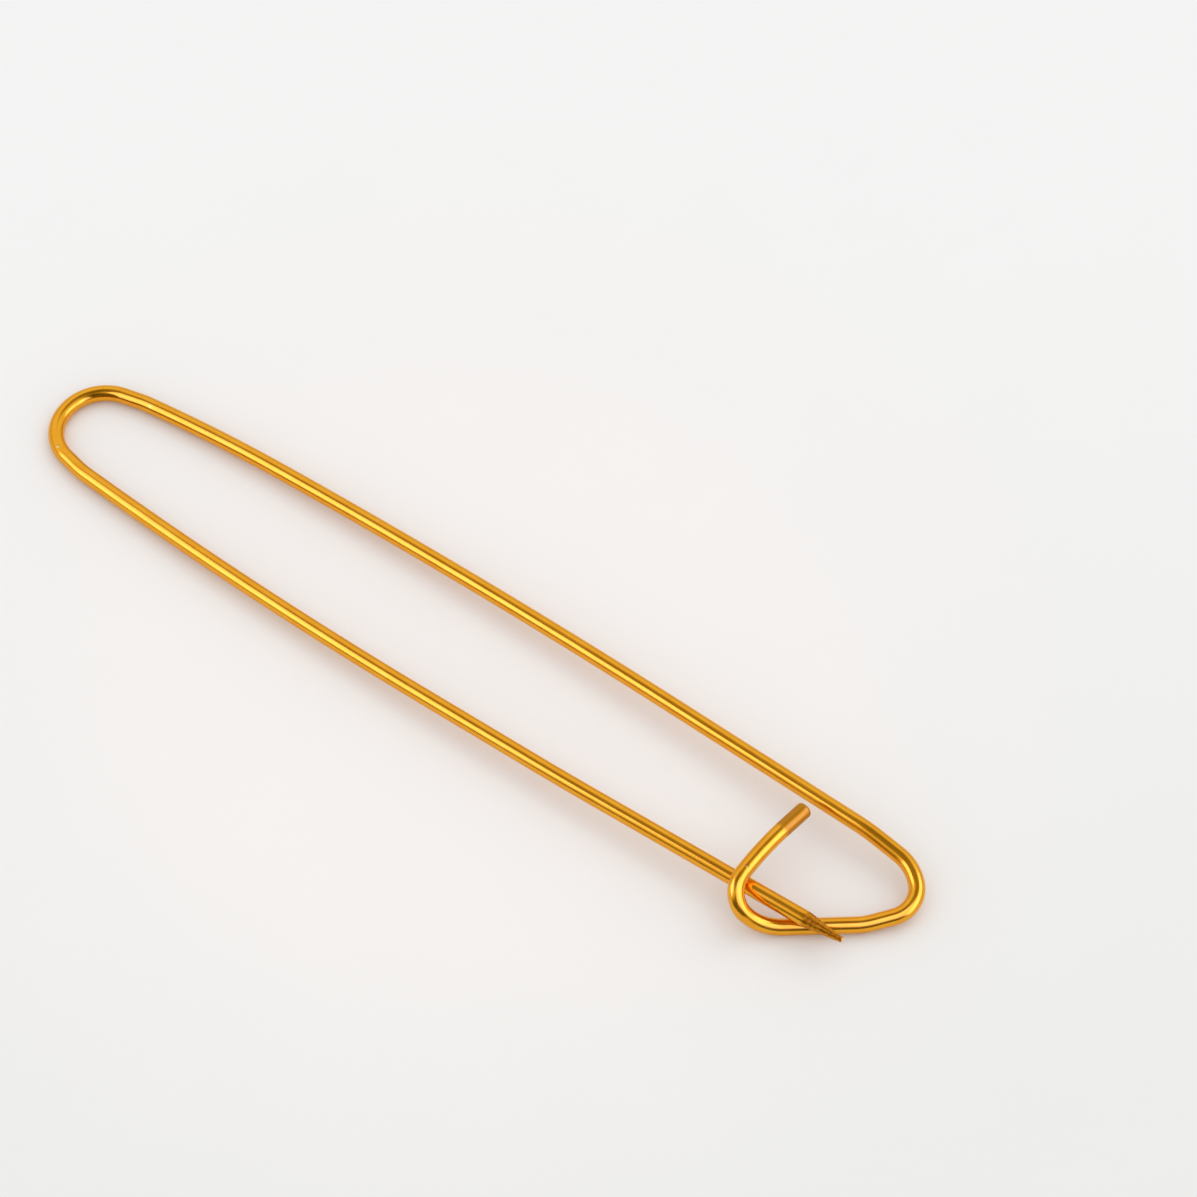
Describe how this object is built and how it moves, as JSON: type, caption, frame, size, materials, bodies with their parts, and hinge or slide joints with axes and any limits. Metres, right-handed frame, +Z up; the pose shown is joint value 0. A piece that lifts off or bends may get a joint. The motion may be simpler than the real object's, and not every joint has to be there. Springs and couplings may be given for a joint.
{
  "type": "stitch holder",
  "caption": "Long gold wire stitch holder: a needle arm and a back arm joined by a spring bend, with the needle's point caught over a rest bar and under a hook at the rounded head.",
  "frame": {"origin": "middle of the bounding box in X and Y, on the flat surface that the holder lies on", "axes": "+X along the holder, from the spring bend to the head; +Y from the needle arm to the back arm; +Z up, towards the side where the hook lies over the needle"},
  "size_m": [0.1578, 0.0266, 0.008],
  "materials": {
    "needle_point": "gold anodised, the taper ground by hand",
    "needle_arm": "bright gold anodised",
    "spring_bend": "bright gold anodised",
    "flex_length": "bright gold anodised",
    "back_arm": "bright gold anodised",
    "head_bend": "bright gold anodised",
    "rest_bar": "bright gold anodised",
    "catch_hook": "bright gold anodised, cut end"
  },
  "bodies": {
    "bend": {"spring_bend": "spring_bend"},
    "needle": {"needle_arm": "needle_arm", "needle_point": "needle_point"},
    "flex": {"flex_length": "flex_length"},
    "catch": {"back_arm": "back_arm", "head_bend": "head_bend", "rest_bar": "rest_bar", "catch_hook": "catch_hook"}
  },
  "joints": [
    {"name": "needle_squeeze", "type": "hinge", "parent": "bend", "child": "needle", "pos_m": [-0.07078, -0.00523, 0.00138], "axis": [-0.0194, 0, 0.9998], "range_deg": [0, 4], "stiffness_Nm_per_rad": 0.9},
    {"name": "catch_release", "type": "hinge", "parent": "bend", "child": "flex", "pos_m": [-0.07164, 0.00932, 0.00137], "axis": [-0.9611, -0.2137, -0.1751], "range_deg": [0, 300], "stiffness_Nm_per_rad": 0.004},
    {"name": "catch_steady", "type": "hinge", "parent": "flex", "child": "catch", "pos_m": [-0.06939, 0.00981, 0.00141], "axis": [0.9761, 0.2164, 0.019], "range_deg": [0, 300]}
  ],
  "couplings": [
    {"joint": "catch_steady", "follows": "catch_release", "ratio": 1}
  ]
}
